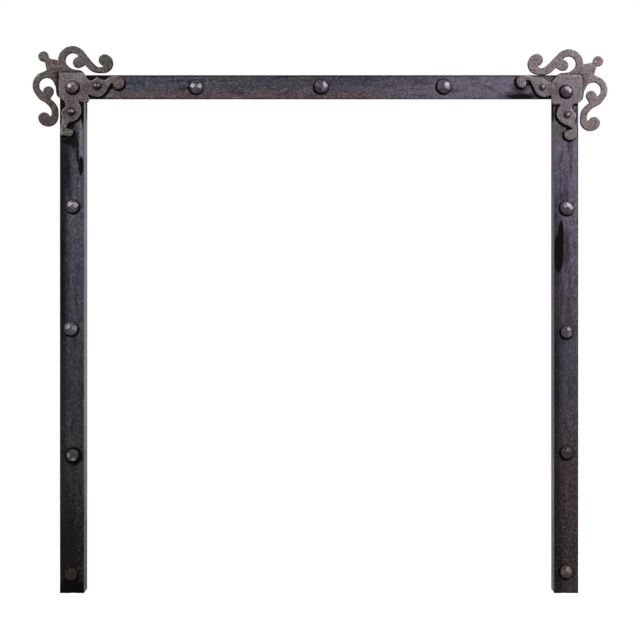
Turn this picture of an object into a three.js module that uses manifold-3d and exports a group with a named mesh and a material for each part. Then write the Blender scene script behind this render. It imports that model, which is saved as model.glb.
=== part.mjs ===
// Riveted iron fireplace surround. Two legs of angle iron and a lintel of flat bar are mitred round a firebox
// opening. Behind each upper corner is a plate cut into scrolls, and on its front a corner plate with curled
// arms, all drawn up by hammered rivets.
// Millimetres. +Z is up and the front faces -Y. The origin is under the middle of the object, on the hearth.

import * as THREE from 'three';
import { mergeVertices } from 'three/addons/utils/BufferGeometryUtils.js';
import Module from 'manifold-3d';

const wasm = await Module();
wasm.setup();

// Frame
const frameWidth = 1088.7; // over the outer edges of the legs
const frameHeight = 1088;
const flangeWidth = 50.8; // legs of equal angle, 2 in by 2 in by 1/4 in
const flangeThickness = 6.35; // the lintel is flat bar of the flange's width and thickness
const rootRadius = 5; // rolled fillet inside the angle
const toeRadius = 3; // rounding inside each flange's tip
const filletSteps = 5;
const mitreGap = 0.3;

// Ornament plates
const cornerPlateThickness = 6;
const scrollPlateThickness = 6.35;
const plateChamfer = 0.6;

// Rivets
const holeClearance = 0.3;
const cutterOverrun = 1; // how far a cutter passes the faces of what it cuts
const rivetSides = 12;
const largeRivet = { headRadius: 16, headHeight: 8.5, shankRadius: 5, tailRadius: 8, tailHeight: 3 };
const cornerRivet = { ...largeRivet, headRadius: 15 };
const smallRivet = { headRadius: 7.5, headHeight: 4, shankRadius: 3, tailRadius: 5, tailHeight: 2 };
const headProfile = [[0, 1], [0.4, 0.95], [0.78, 0.62], [1, 0.16], [0.96, 0]]; // of its radius and height
const tailProfile = [[1, 0], [0.7, 0.8], [0, 1]];
const hammering = { from: 0.3, spread: 0.09, dent: 0.05, rivetPhase: 7.1, spotPhase: 12.9 };

// Where the rivets stand: along the bar from its outer upper corner, and across from its outer edge.
const lintelRivets = { left: [286.3, 25.4], middle: [548.8, 24.2], right: [806.3, 24] };
const leftLegRivets = [[276, 27], [533, 23.5], [799, 26.7], [1048.5, 24]];
const rightLegRivets = [[279.7, 24.2], [540.3, 24.2], [792.5, 23.5], [1043, 25.4]];

// The right scroll plate is the left one's pattern, mirrored, with the curl on its tail drawn up higher, and
// riveted on a few degrees round.
const scrollPivot = new THREE.Vector2(7.2, -3);
const leftScroll = { curlRise: 0, turnDegrees: 0, moved: new THREE.Vector2(-2.4, 0.8) };
const rightScroll = { curlRise: 4.2, turnDegrees: 3, moved: new THREE.Vector2(-7.2, -7.1) };

const iron = {
  bar: { color: 0x46444b, roughness: 0.48, metalness: 0.85 },
  cornerPlate: { color: 0x6b6264, roughness: 0.62, metalness: 0.75 },
  scrollPlate: { color: 0x5f5756, roughness: 0.66, metalness: 0.75 },
  rivet: { color: 0x6f6a70, roughness: 0.42, metalness: 0.88 },
};

// Solids ------------------------------------------------------------------------------------------

function toSolid(geometry) {
  const bare = geometry.clone();
  bare.deleteAttribute('normal');
  bare.deleteAttribute('uv');
  const merged = mergeVertices(bare, 1e-4);
  return new wasm.Manifold(new wasm.Mesh({
    numProp: 3,
    vertProperties: new Float32Array(merged.attributes.position.array),
    triVerts: new Uint32Array(merged.index.array),
  }));
}

function toGeometry(solid) {
  const mesh = solid.getMesh();
  const geometry = new THREE.BufferGeometry();
  geometry.setAttribute('position', new THREE.BufferAttribute(new Float32Array(mesh.vertProperties), 3));
  geometry.setIndex(new THREE.BufferAttribute(new Uint32Array(mesh.triVerts), 1));
  geometry.computeVertexNormals();
  return geometry;
}

// A flat piece whose outline is drawn in x and z, from yFront back to yBack.
function prism(shape, yFront, yBack, chamfer = 0) {
  const geometry = new THREE.ExtrudeGeometry(shape, {
    depth: yBack - yFront - 2 * chamfer,
    bevelEnabled: chamfer > 0,
    bevelThickness: chamfer,
    bevelSize: chamfer,
    bevelOffset: -chamfer,
    bevelSegments: 1,
  });
  return geometry.rotateX(Math.PI / 2).translate(0, yBack - chamfer, 0);
}

function ring(centre, radius) {
  return Array.from({ length: rivetSides }, (_, i) => {
    const angle = (i / rivetSides) * 2 * Math.PI;
    return new THREE.Vector2(centre.x + radius * Math.cos(angle), centre.y + radius * Math.sin(angle));
  });
}

// Corner coordinates: u runs inward from the leg's outer edge and w upward from the lintel's upper edge.
function fromCorner(side, u, w) {
  return new THREE.Vector2(side * (frameWidth / 2 - u), frameHeight + w);
}

// Bars --------------------------------------------------------------------------------------------

// The angle's section: x across the face from the outer edge, y back from the face.
function angleSection(side) {
  const inner = flangeWidth - flangeThickness;
  const section = new THREE.Shape();
  section.moveTo(0, 0);
  section.lineTo(flangeWidth, 0);
  section.lineTo(flangeWidth, flangeWidth);
  section.lineTo(inner + toeRadius, flangeWidth);
  section.absarc(inner + toeRadius, flangeWidth - toeRadius, toeRadius, Math.PI / 2, Math.PI, false);
  section.lineTo(inner, flangeThickness + rootRadius);
  section.absarc(inner - rootRadius, flangeThickness + rootRadius, rootRadius, 0, -Math.PI / 2, true);
  section.lineTo(toeRadius, flangeThickness);
  section.absarc(toeRadius, flangeThickness - toeRadius, toeRadius, Math.PI / 2, Math.PI, false);
  const points = section.getPoints(filletSteps);
  return new THREE.Shape(points.map((p) => new THREE.Vector2(side * p.x, p.y)));
}

// Everything past the mitre through an upper corner: above the leg's mitre, or beyond the lintel's.
function mitreWedge(side, keepsLeg) {
  const reach = 2 * flangeWidth;
  const shift = (mitreGap / 2) * Math.SQRT2 * (keepsLeg ? -1 : 1);
  const far = keepsLeg ? [reach, reach] : [-reach, -reach];
  const corners = [[-reach, reach + shift], [reach, -reach + shift], far];
  return toSolid(prism(new THREE.Shape(corners.map(([u, w]) => fromCorner(side, u, w))), -reach, reach));
}

// Rivet holes through a flat piece that lies between yFront and yBack.
function drill(solid, { size, places }, yFront, yBack) {
  return places.reduce((body, place) => {
    const hole = new THREE.Shape(ring(place, size.shankRadius + holeClearance));
    return body.subtract(toSolid(prism(hole, yFront - cutterOverrun, yBack + cutterOverrun)));
  }, solid);
}

function leg(side, holes) {
  const stock = new THREE.ExtrudeGeometry(angleSection(-side), { depth: frameHeight, bevelEnabled: false });
  stock.translate((side * frameWidth) / 2, 0, 0);
  const mitred = toSolid(stock).subtract(mitreWedge(side, true));
  return toGeometry(holes.reduce((body, hole) => drill(body, hole, 0, flangeThickness), mitred));
}

function lintel(holes) {
  const stock = new THREE.BoxGeometry(frameWidth, flangeThickness, flangeWidth);
  stock.translate(0, flangeThickness / 2, frameHeight - flangeWidth / 2);
  const mitred = toSolid(stock).subtract(mitreWedge(-1, false)).subtract(mitreWedge(1, false));
  return toGeometry(holes.reduce((body, hole) => drill(body, hole, 0, flangeThickness), mitred));
}

// Outlines of the ornament, clockwise in corner coordinates ---------------------------------------

const arcStep = 13; // degrees
const curveStep = 4.2; // mm
const shortestEdge = 1.3; // mm, so that the chamfer never folds back on itself

function arc(u, w, radius, fromDegrees, toDegrees) {
  const steps = Math.ceil(Math.abs(toDegrees - fromDegrees) / arcStep);
  return Array.from({ length: steps + 1 }, (_, i) => {
    const angle = THREE.MathUtils.degToRad(THREE.MathUtils.lerp(fromDegrees, toDegrees, i / steps));
    return new THREE.Vector2(u + radius * Math.cos(angle), w + radius * Math.sin(angle));
  });
}

function curve(...points) {
  const spline = new THREE.SplineCurve(points.map(([u, w]) => new THREE.Vector2(u, w)));
  return spline.getSpacedPoints(Math.ceil(spline.getLength() / curveStep));
}

function corner(u, w) {
  return [new THREE.Vector2(u, w)];
}

function outline(...runs) {
  const points = runs.flat();
  return points.filter((p, i) => p.distanceTo(points[(i + 1) % points.length]) > shortestEdge);
}

function scrollOutline(curlRise) {
  return outline(
    // upper scroll: over the crest, down the tail and round the curl at its end
    arc(27.6, 30.5, 31, 180, 42),
    curve([50.6, 51.2], [61.4, 37.4 + 0.3 * curlRise], [71.2, 25.8 + 0.45 * curlRise],
      [79.6, 18.4 + 0.45 * curlRise], [86, 16.8 + 0.45 * curlRise], [90.2, 17.6 + 0.6 * curlRise],
      [92.4, 19.1 + 0.8 * curlRise]),
    arc(95, 31.5 + 0.9 * curlRise, 12.7 + 0.1 * curlRise, 258, 92),
    arc(93.5 - 0.25 * curlRise, 24 + 0.5 * curlRise, 20.3 + 0.5 * curlRise, 85, -85),
    curve([95.3, 3.8], [83, 3.3], [75, 4.5], [68, 7.5], [62, 12], [54, 20.5]),
    // its inner bud and the round eye
    curve([54, 20.5], [49, 17], [43.6, 15]),
    arc(40, 26.3, 12, -75, -250),
    curve([35.9, 37.6], [39.4, 39.5]),
    arc(28.4, 30.4, 14.8, 41, 236),
    curve([20.1, 18.1], [26, 13.8], [33, 12], [43, 10.5], [50, 7], [54, 0]),
    // the body, hidden behind the corner
    curve([54, 0], [53.5, -14], [48, -27], [39.5, -37.3], [27, -47], [13, -51.5], [0, -48.5]),
    curve([0, -48.5], [-5, -43.5], [-7.3, -35], [-8, -26], [-10.8, -19]),
    // lower scroll: the round eye and its bud
    arc(-26.5, -22, 15.5, 12, 230),
    curve([-36.5, -33.9], [-36, -36.4], [-34.8, -35]),
    arc(-23, -35, 11.8, 172, -32),
    curve([-13, -41.3], [-16.3, -45.8], [-19, -49.6]),
    curve([-19, -49.6], [-13, -54.4], [-7.2, -60.8], [-3.2, -67.6], [-1.5, -76], [-1.6, -87]),
    // round its end and back up the tail
    arc(-23.6, -87, 22, 0, -165),
    arc(-32, -91, 13, 180, 25),
    curve([-20.2, -85.5], [-19.2, -88]),
    curve([-19.2, -88], [-16.8, -83], [-17, -75], [-22, -66], [-30, -58.8], [-43, -50.4], [-52.5, -37.4]),
    arc(-26.5, -22, 30.3, 208, 104),
    curve([-33.8, 7.4], [-30, 9.4], [-26.8, 10.5]),
    // neck and ball finial
    curve([-26.8, 10.5], [-28.9, 17], [-29.6, 23], [-31.5, 27.8]),
    arc(-33.5, 39, 11.3, -82, -370),
    curve([-22.1, 36.8], [-18.5, 34.8], [-11, 33.6], [-4.6, 31.8]),
  );
}

const leftCornerOutline = outline(
  // upper arm: shoulder, crested lobe, tail and curl
  corner(-1.5, 5),
  curve([51, 5], [54.2, 0.3], [57.2, -4.5], [60, -8.5], [64, -11.6], [68, -11.4], [72, -9.2], [78.5, -3.5]),
  curve([78.5, -3.5], [81.5, -5.2], [86, -7.7], [91, -9.8], [96, -11]),
  curve([96, -11], [99.5, -8.8], [103, -6], [107.5, -3.5], [113, -2.4], [120, -2.6]),
  arc(122, -16.3, 13.6, 84, -112),
  curve([116.9, -28.9], [113.6, -25], [112.3, -20.5], [110.8, -15.5]),
  curve([110.8, -15.5], [107.5, -19.5], [104, -25.5], [100, -31.5], [95.5, -37.5], [89, -43.4], [80, -46],
    [70, -43.9], [60, -39.5]),
  // knob over the inner corner
  curve([60, -39.5], [60.3, -44], [63.2, -50.5], [59.5, -58.5]),
  curve([59.5, -58.5], [52, -58.8], [46.5, -57.6], [41.5, -54.5]),
  // side arm: lobe, tail and curl
  curve([41.5, -54.5], [40.6, -58.5], [44, -65], [45.7, -73], [45.2, -81], [42, -88], [36, -94],
    [22.5, -99.5], [17, -103.5], [14.5, -112]),
  curve([14.5, -112], [23, -114], [28, -119.3], [26.8, -125.6], [20, -129.6], [11.5, -127.6], [3.8, -127.5]),
  curve([3.8, -127.5], [1.4, -121], [1.2, -114], [2.8, -105], [5.8, -96], [5.2, -88], [4.2, -80.5], [6, -73],
    [11, -69.2], [13.6, -65.5]),
  curve([13.6, -65.5], [12.4, -59], [8, -53], [-0.8, -48.5]),
  corner(-1.5, -46),
);

const rightCornerOutline = outline(
  // upper arm, with a shallower crest that runs straight into the tail
  corner(-7.5, -2.8),
  corner(-5.5, -0.9),
  curve([41, 0.6], [46, -1.5], [50, -6.2], [53.5, -11.5], [57, -15], [61, -15.6], [64.5, -13], [70, -8.2],
    [76, -5.6], [84, -4.6], [97, -3.6], [104, -1.2], [112, -0.4], [120, -0.6]),
  curve([120, -0.6], [126, -2.8], [130, -9], [130.3, -15.5], [127.5, -22.3], [122, -26.6], [116.5, -27.4],
    [111.8, -24.8], [109.7, -20], [110, -15], [112, -11.4]),
  curve([112, -11.4], [106, -10.8], [101.5, -12.5]),
  curve([101.5, -12.5], [98.5, -18], [95.5, -24], [93, -30], [90, -36], [84.5, -42.2], [74, -46.8], [64, -45],
    [55.5, -42.3]),
  // knob over the inner corner
  curve([55.5, -42.3], [57.6, -48], [57.6, -54], [54, -60], [47, -62.6], [38.5, -60.8]),
  // side arm
  curve([38.5, -60.8], [41.5, -66.5], [45, -75], [46.2, -83], [43.8, -90.5], [38, -98], [30, -103.6],
    [21, -107.6], [12.5, -113.4]),
  curve([12.5, -113.4], [21, -115.8], [28, -119.3], [30, -125.5], [27.5, -132], [20, -136.6], [12, -135.6],
    [5.5, -130.5], [3, -122], [3.2, -113], [6, -106], [8.8, -99.5]),
  curve([8.8, -99.5], [6.2, -93], [4.9, -86.5], [6, -80.5], [10.5, -75.5], [13.8, -70.5], [13.4, -65],
    [9, -61.8], [1.5, -60.3]),
  curve([1.5, -60.3], [-3.5, -56], [-6.6, -51], [-7.5, -45]),
);

const leftRivetPlaces = { corner: [27, -26.5], armTop: [79, -23.5], armSide: [24, -77.5] };
const rightRivetPlaces = { corner: [26, -35], armTop: [76, -26], armSide: [24, -83.5] };

function plate(points, side, holes, yFront, yBack) {
  const shape = new THREE.Shape(points.map((p) => fromCorner(side, p.x, p.y)));
  const blank = toSolid(prism(shape, yFront, yBack, plateChamfer));
  return toGeometry(holes.reduce((body, hole) => drill(body, hole, yFront, yBack), blank));
}

function scrollPlate(side, { curlRise, turnDegrees, moved }, holes) {
  const turn = THREE.MathUtils.degToRad(turnDegrees);
  const points = scrollOutline(curlRise).map((p) => p.rotateAround(scrollPivot, turn).add(moved));
  return plate(points, side, holes, flangeThickness, flangeThickness + scrollPlateThickness);
}

// Rivets ------------------------------------------------------------------------------------------

// One turned piece: head, shank and closed tail.
function turnedRivet(size, yFront, yBack) {
  const { headRadius, headHeight, shankRadius, tailRadius, tailHeight } = size;
  const profile = [
    ...headProfile.map(([radius, height]) => [radius * headRadius, yFront - height * headHeight]),
    [shankRadius, yFront],
    [shankRadius, yBack],
    ...tailProfile.map(([radius, height]) => [radius * tailRadius, yBack + height * tailHeight]),
  ];
  const points = profile.map(([radius, y]) => new THREE.Vector2(radius, y));
  const turned = new THREE.LatheGeometry(points, rivetSides);
  turned.deleteAttribute('normal');
  turned.deleteAttribute('uv');
  return mergeVertices(turned, 1e-4);
}

// The hammer leaves flats of uneven size on every head, and on no two heads alike.
function hammer(geometry, size, yFront, rivetNumber) {
  const position = geometry.attributes.position;
  for (let i = 0; i < position.count; i += 1) {
    if (yFront - position.getY(i) > hammering.from * size.headHeight) {
      const uneven = Math.sin(rivetNumber * hammering.rivetPhase + i * hammering.spotPhase);
      const spread = 1 + hammering.spread * uneven;
      const dent = hammering.dent * size.headHeight * (1 + uneven);
      position.setXYZ(i, position.getX(i) * spread, position.getY(i) + dent, position.getZ(i) * (2 - spread));
    }
  }
}

// Assembly ----------------------------------------------------------------------------------------

const group = new THREE.Group();
let rivetCount = 0;

function addPiece(name, geometry, finish) {
  const mesh = new THREE.Mesh(geometry, new THREE.MeshStandardMaterial(finish));
  mesh.name = name;
  group.add(mesh);
}

function addRivet(name, size, place, yFront, yBack) {
  const geometry = turnedRivet(size, yFront, yBack);
  rivetCount += 1;
  hammer(geometry, size, yFront, rivetCount);
  addPiece(name, geometry.translate(place.x, 0, place.y), iron.rivet);
}

const corners = [
  { name: 'left', side: -1, places: leftRivetPlaces, cornerOutline: leftCornerOutline,
    scroll: leftScroll, legRivets: leftLegRivets },
  { name: 'right', side: 1, places: rightRivetPlaces, cornerOutline: rightCornerOutline,
    scroll: rightScroll, legRivets: rightLegRivets },
];
const seat = -cornerPlateThickness;
const scrollBack = flangeThickness + scrollPlateThickness;

corners.forEach(({ name, side, places, cornerOutline, scroll, legRivets }) => {
  const legPlaces = legRivets.map(([along, across]) => fromCorner(side, across, -along));
  const cornerPlace = fromCorner(side, ...places.corner);
  const armSide = fromCorner(side, ...places.armSide);
  const armTop = fromCorner(side, ...places.armTop);
  const cornerHole = { size: cornerRivet, places: [cornerPlace] };

  addPiece(`${name}_leg`, leg(side, [
    { size: largeRivet, places: legPlaces }, cornerHole, { size: smallRivet, places: [armSide] },
  ]), iron.bar);
  addPiece(`${name}_corner_plate`, plate(cornerOutline, side, [
    cornerHole, { size: smallRivet, places: [armTop, armSide] },
  ], seat, 0), iron.cornerPlate);
  addPiece(`${name}_scroll_plate`, scrollPlate(side, scroll, [cornerHole]), iron.scrollPlate);
  addRivet(`${name}_corner_rivet`, cornerRivet, cornerPlace, seat, scrollBack);
  addRivet(`${name}_arm_rivet_top`, smallRivet, armTop, seat, flangeThickness);
  addRivet(`${name}_arm_rivet_side`, smallRivet, armSide, seat, flangeThickness);
  legPlaces.forEach((place, i) => {
    addRivet(`${name}_leg_rivet_${i + 1}`, largeRivet, place, 0, flangeThickness);
  });
});

const lintelPlaces = Object.entries(lintelRivets).map(([name, [along, across]]) => (
  { name, place: fromCorner(-1, along, -across) }));
addPiece('lintel', lintel([
  { size: largeRivet, places: lintelPlaces.map(({ place }) => place) },
  { size: cornerRivet, places: corners.map(({ side, places }) => fromCorner(side, ...places.corner)) },
  { size: smallRivet, places: corners.map(({ side, places }) => fromCorner(side, ...places.armTop)) },
]), iron.bar);
lintelPlaces.forEach(({ name, place }) => {
  addRivet(`lintel_rivet_${name}`, largeRivet, place, 0, flangeThickness);
});

// The scrolls overhang unevenly, so the whole is moved to stand centred on the origin.
const reach = new THREE.Box3().setFromObject(group);
const middle = reach.getCenter(new THREE.Vector3());
group.position.set(-middle.x, -middle.y, -reach.min.z);

export default group;
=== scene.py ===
import math
import random

import bmesh
import bpy
import numpy as np
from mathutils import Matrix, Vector, noise
from mathutils.kdtree import KDTree


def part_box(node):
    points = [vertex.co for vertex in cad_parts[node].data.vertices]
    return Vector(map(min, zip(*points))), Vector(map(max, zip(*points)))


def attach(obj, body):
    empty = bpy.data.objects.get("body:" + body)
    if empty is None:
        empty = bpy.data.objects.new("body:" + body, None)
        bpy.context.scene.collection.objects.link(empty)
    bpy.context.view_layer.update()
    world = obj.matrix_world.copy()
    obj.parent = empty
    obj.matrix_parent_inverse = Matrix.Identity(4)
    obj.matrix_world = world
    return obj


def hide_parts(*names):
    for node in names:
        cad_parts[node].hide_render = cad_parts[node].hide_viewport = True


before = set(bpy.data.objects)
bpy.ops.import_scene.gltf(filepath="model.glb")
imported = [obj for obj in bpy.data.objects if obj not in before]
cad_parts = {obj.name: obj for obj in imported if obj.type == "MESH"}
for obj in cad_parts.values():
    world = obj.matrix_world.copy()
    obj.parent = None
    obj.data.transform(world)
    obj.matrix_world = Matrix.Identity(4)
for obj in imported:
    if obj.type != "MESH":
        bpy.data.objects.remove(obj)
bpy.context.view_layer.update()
scene = bpy.context.scene
scene.view_settings.view_transform = "Standard"
print("frame loaded:", len(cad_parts), "pieces")

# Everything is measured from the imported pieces, in metres. The front faces -Y.

leftLeg, rightLeg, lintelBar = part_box("left_leg"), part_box("right_leg"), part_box("lintel")
cornerPlateBox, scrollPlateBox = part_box("left_corner_plate"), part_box("left_scroll_plate")
faceY = leftLeg[0].y
barTop = lintelBar[1].z
flangeWidth = leftLeg[1].x - leftLeg[0].x
flangeThickness = scrollPlateBox[0].y - faceY
plateFaceY = cornerPlateBox[0].y
scrollBackY = scrollPlateBox[1].y


# Camera, lamps and floor

cameraLook = {
    "distance": 3.65,          # in front of the bars' faces
    "place": (0.0211, 0.773),  # across and up
    "lens": 97.78,
    "shift": (-0.0156, -0.1483),
}

lampLook = {
    "right": {"place": (1.35, -1.05, 1.75), "aim": (0.45, 0, 0.9), "size": 0.7, "spread": 110, "watts": 11},
    "left": {"place": (-1.35, -1.0, 1.8), "aim": (-0.5, 0, 0.95), "size": 0.7, "spread": 90, "watts": 7.8},
    "front": {"place": (0, -4.0, 0.9), "aim": (0, 0, 0.8), "size": 2.0, "spread": 180, "watts": 13},
}

roomLook = {
    "ambient": 0.32,           # what the room gives to matt surfaces
    "mirrored": (0.24, 0.55),  # what metal sees of the room in front of the object and behind it
    "floorReach": (1.6, 0.9, 1.6),  # to each side, to the front and to the back
    "floorGlow": 0.84,         # the part of the floor's white that no shadow takes away
    "floorColour": (0.36, 0.36, 0.36, 1),
}


def addObject(name, data):
    made = bpy.data.objects.new(name, data)
    scene.collection.objects.link(made)
    return made


def placeCamera():
    data = bpy.data.cameras.new("camera")
    data.lens = cameraLook["lens"]
    data.shift_x, data.shift_y = cameraLook["shift"]
    camera = addObject("camera", data)
    across, up = cameraLook["place"]
    camera.location = (across, faceY - cameraLook["distance"], up)
    camera.rotation_euler = (math.pi / 2, 0, 0)
    scene.camera = camera


def hangLamp(name, look):
    data = bpy.data.lights.new(name, "AREA")
    data.size = look["size"]
    data.energy = look["watts"]
    data.spread = math.radians(look["spread"])
    lamp = addObject(name, data)
    lamp.location = look["place"]
    lamp.rotation_euler = (Vector(look["aim"]) - lamp.location).to_track_quat("-Z", "Y").to_euler()


# Node helpers

def feed(tree, node, values):
    # sets the node's sockets, and links those whose value is a socket itself
    for name, value in values.items():
        if isinstance(value, bpy.types.NodeSocket):
            tree.links.new(value, node.inputs[name])
        else:
            node.inputs[name].default_value = value


def put(tree, kind, values=None, **settings):
    made = tree.nodes.new("ShaderNode" + kind)
    for name, value in settings.items():
        setattr(made, name, value)
    feed(tree, made, values or {})
    return made


def calc(tree, operation, *values):
    return put(tree, "Math", dict(enumerate(values)), operation=operation).outputs[0]


def scaled(tree, value, factor, start=0):
    return calc(tree, "MULTIPLY_ADD", value, factor, start)


def ease(tree, value, low, high):
    # 0 below low, 1 above high, and smooth between them
    values = {"Value": value, "From Min": low, "From Max": high}
    return put(tree, "MapRange", values, interpolation_type="SMOOTHSTEP").outputs[0]


def blendColours(tree, factor, first, second, blendType="MIX"):
    values = {0: factor, 6: first, 7: second}
    return put(tree, "Mix", values, data_type="RGBA", blend_type=blendType).outputs[2]


def painted(tree, name):
    return put(tree, "Attribute", attribute_name=name).outputs["Fac"]


def barePlace(tree):
    return put(tree, "TexCoord").outputs["Object"]


def noiseAt(tree, place, perMetre, detail, coarseness=0.5, distortion=0):
    values = {"Vector": place, "Scale": perMetre, "Detail": detail, "Roughness": coarseness}
    return put(tree, "TexNoise", {**values, "Distortion": distortion}).outputs["Fac"]


def newGroup(name, given, results):
    tree = bpy.data.node_groups.new(name, "ShaderNodeTree")
    for label, default in given.items():
        kind = "NodeSocketVector" if isinstance(default, tuple) else "NodeSocketFloat"
        tree.interface.new_socket(name=label, in_out="INPUT", socket_type=kind).default_value = default
    for label in results:
        tree.interface.new_socket(name=label, in_out="OUTPUT", socket_type="NodeSocketFloat")
    return tree, tree.nodes.new("NodeGroupInput").outputs, tree.nodes.new("NodeGroupOutput")


def useGroup(tree, group, values):
    return put(tree, "Group", values, node_tree=group).outputs


def newMaterial(name):
    material = bpy.data.materials.new(name)
    material.use_nodes = True
    tree = material.node_tree
    return material, tree, tree.nodes["Principled BSDF"]


def colour(red, green, blue):
    # a screen colour, 0 to 255, as the linear value that a socket takes
    def linear(part):
        part /= 255
        return part / 12.92 if part < 0.04045 else ((part + 0.055) / 1.055) ** 2.4
    return (linear(red), linear(green), linear(blue), 1)


def raysSeen(tree):
    # whether a ray comes from the camera, and whether it is seen at all, also in a mirror or through glass
    path = put(tree, "LightPath").outputs
    bounced = calc(tree, "MAXIMUM", path["Is Glossy Ray"], path["Is Transmission Ray"])
    return path["Is Camera Ray"], calc(tree, "MAXIMUM", path["Is Camera Ray"], bounced)


def buildRoom():
    world = bpy.data.worlds.new("room")
    scene.world = world
    world.use_nodes = True
    tree = world.node_tree
    tree.nodes.clear()
    fromCamera, seen = raysSeen(tree)
    towards = put(tree, "SeparateXYZ", {"Vector": put(tree, "TexCoord").outputs["Generated"]}).outputs["Y"]
    front, behind = roomLook["mirrored"]
    mirrored = scaled(tree, ease(tree, towards, -0.3, 0.3), behind - front, front)
    strength = calc(tree, "MAXIMUM", mirrored, fromCamera)
    white = put(tree, "Background", {"Color": (1, 1, 1, 1), "Strength": strength})
    ambient = put(tree, "Background", {"Color": (1, 1, 1, 1), "Strength": roomLook["ambient"]})
    mixed = put(tree, "MixShader", {0: seen, 1: ambient.outputs[0], 2: white.outputs[0]})
    put(tree, "OutputWorld", {"Surface": mixed.outputs[0]})


def buildFloor():
    side, front, back = roomLook["floorReach"]
    mesh = bpy.data.meshes.new("floor")
    corners = [(-side, -front, 0), (side, -front, 0), (side, back, 0), (-side, back, 0)]
    mesh.from_pydata(corners, [], [(0, 1, 2, 3)])
    addObject("floor", mesh)
    material, tree, shader = newMaterial("whiteFloor")
    tree.nodes.remove(shader)
    seen = raysSeen(tree)[1]
    lit = put(tree, "BsdfDiffuse", {"Color": roomLook["floorColour"]}).outputs[0]
    glow = put(tree, "Emission", {"Color": (1, 1, 1, 1), "Strength": roomLook["floorGlow"]}).outputs[0]
    both = put(tree, "AddShader", {0: lit, 1: glow}).outputs[0]
    mixed = put(tree, "MixShader", {0: seen, 1: lit, 2: both}).outputs[0]
    feed(tree, tree.nodes["Material Output"], {"Surface": mixed})
    mesh.materials.append(material)


placeCamera()
buildRoom()
buildFloor()
for lampName, lampValues in lampLook.items():
    hangLamp(lampName, lampValues)
print("camera, lamps and floor placed")


# Effects that several finishes share

def buildIronGrain():
    # fine grain of cast or filed iron, drawn out upward where it was filed
    tree, given, result = newGroup("ironGrain", {"Grains per Metre": 600, "Filed": 0.4}, ["Height", "Flecks"])
    grains = given["Grains per Metre"]
    squeeze = put(tree, "CombineXYZ", {"X": 1, "Y": 1, "Z": calc(tree, "SUBTRACT", 1, given["Filed"])})
    squeezed = put(tree, "VectorMath", {0: barePlace(tree), 1: squeeze.outputs[0]}, operation="MULTIPLY")
    place = squeezed.outputs[0]
    fine = noiseAt(tree, place, grains, 5, 0.65)
    coarse = noiseAt(tree, place, scaled(tree, grains, 0.22), 3)
    speckle = noiseAt(tree, place, scaled(tree, grains, 0.5), 4, 0.7)
    height = scaled(tree, fine, 0.65, scaled(tree, coarse, 0.35))
    feed(tree, result, {"Height": height, "Flecks": ease(tree, speckle, 0.4, 0.62)})
    return tree


def buildPatches():
    # broad soft patches, and small hard blotches
    inputs = {"Place": (0.0, 0.0, 0.0), "Patches per Metre": 20, "Blotches per Metre": 90}
    tree, given, result = newGroup("patches", inputs, ["Soft", "Hard"])
    soft = noiseAt(tree, given["Place"], given["Patches per Metre"], 3, distortion=0.6)
    hard = noiseAt(tree, given["Place"], given["Blotches per Metre"], 6, 0.6)
    feed(tree, result, {"Soft": ease(tree, soft, 0.36, 0.64), "Hard": ease(tree, hard, 0.5, 0.66)})
    return tree


def buildBrokenEdge():
    # breaks the border of a painted mask into the ragged edge of a stain
    inputs = {"Mask": 0, "Break Up": 0.5, "Grains per Metre": 150}
    tree, given, result = newGroup("brokenEdge", inputs, ["Mask"])
    ragged = noiseAt(tree, barePlace(tree), given["Grains per Metre"], 6, 0.6)
    shift = calc(tree, "MULTIPLY", calc(tree, "SUBTRACT", ragged, 0.5), given["Break Up"])
    feed(tree, result, {"Mask": ease(tree, scaled(tree, shift, 2, given["Mask"]), 0.25, 0.8)})
    return tree


ironGrain = buildIronGrain()
patches = buildPatches()
brokenEdge = buildBrokenEdge()


def drawnPlace(tree, stretch):
    # a place on a bar whose marks are drawn out along it
    depth = put(tree, "SeparateXYZ", {"Vector": barePlace(tree)}).outputs["Y"]
    along = calc(tree, "DIVIDE", painted(tree, "along"), stretch)
    return put(tree, "CombineXYZ", {"X": painted(tree, "across"), "Y": depth, "Z": along}).outputs[0]


def grainOf(tree, perMetre, filed):
    return useGroup(tree, ironGrain, {"Grains per Metre": perMetre, "Filed": filed})


def patchesAt(tree, place, soft, hard):
    return useGroup(tree, patches, {"Place": place, "Patches per Metre": soft, "Blotches per Metre": hard})


def stain(tree, name, breakUp, grains):
    values = {"Mask": painted(tree, name), "Break Up": breakUp, "Grains per Metre": grains}
    return useGroup(tree, brokenEdge, values)["Mask"]


def layered(tree, tone, look, layers):
    # the look's colours over a first one, from the lowest, as (mask, or a painted one's name, share, colour)
    for mask, share, name in layers:
        mask = painted(tree, mask) if isinstance(mask, str) else mask
        tone = blendColours(tree, scaled(tree, mask, share), tone, look[name])
    return tone


def bumped(tree, grain, strength, depth):
    return put(tree, "Bump", {"Strength": strength, "Distance": depth, "Height": grain["Height"]}).outputs[0]


# Finishes

barFinish = {
    "steel": colour(77, 75, 82),
    "blue": colour(56, 60, 80),
    "olive": colour(74, 72, 66),
    "violet": colour(113, 104, 126),
    "brown": colour(82, 70, 73),
    "darkBrown": colour(40, 28, 22),
    "soot": colour(14, 13, 16),
    "scale": colour(13, 12, 14),       # black forge scale and grime, and the black of painted shade
    "rubbedAndSheen": colour(160, 154, 160),
}


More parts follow.
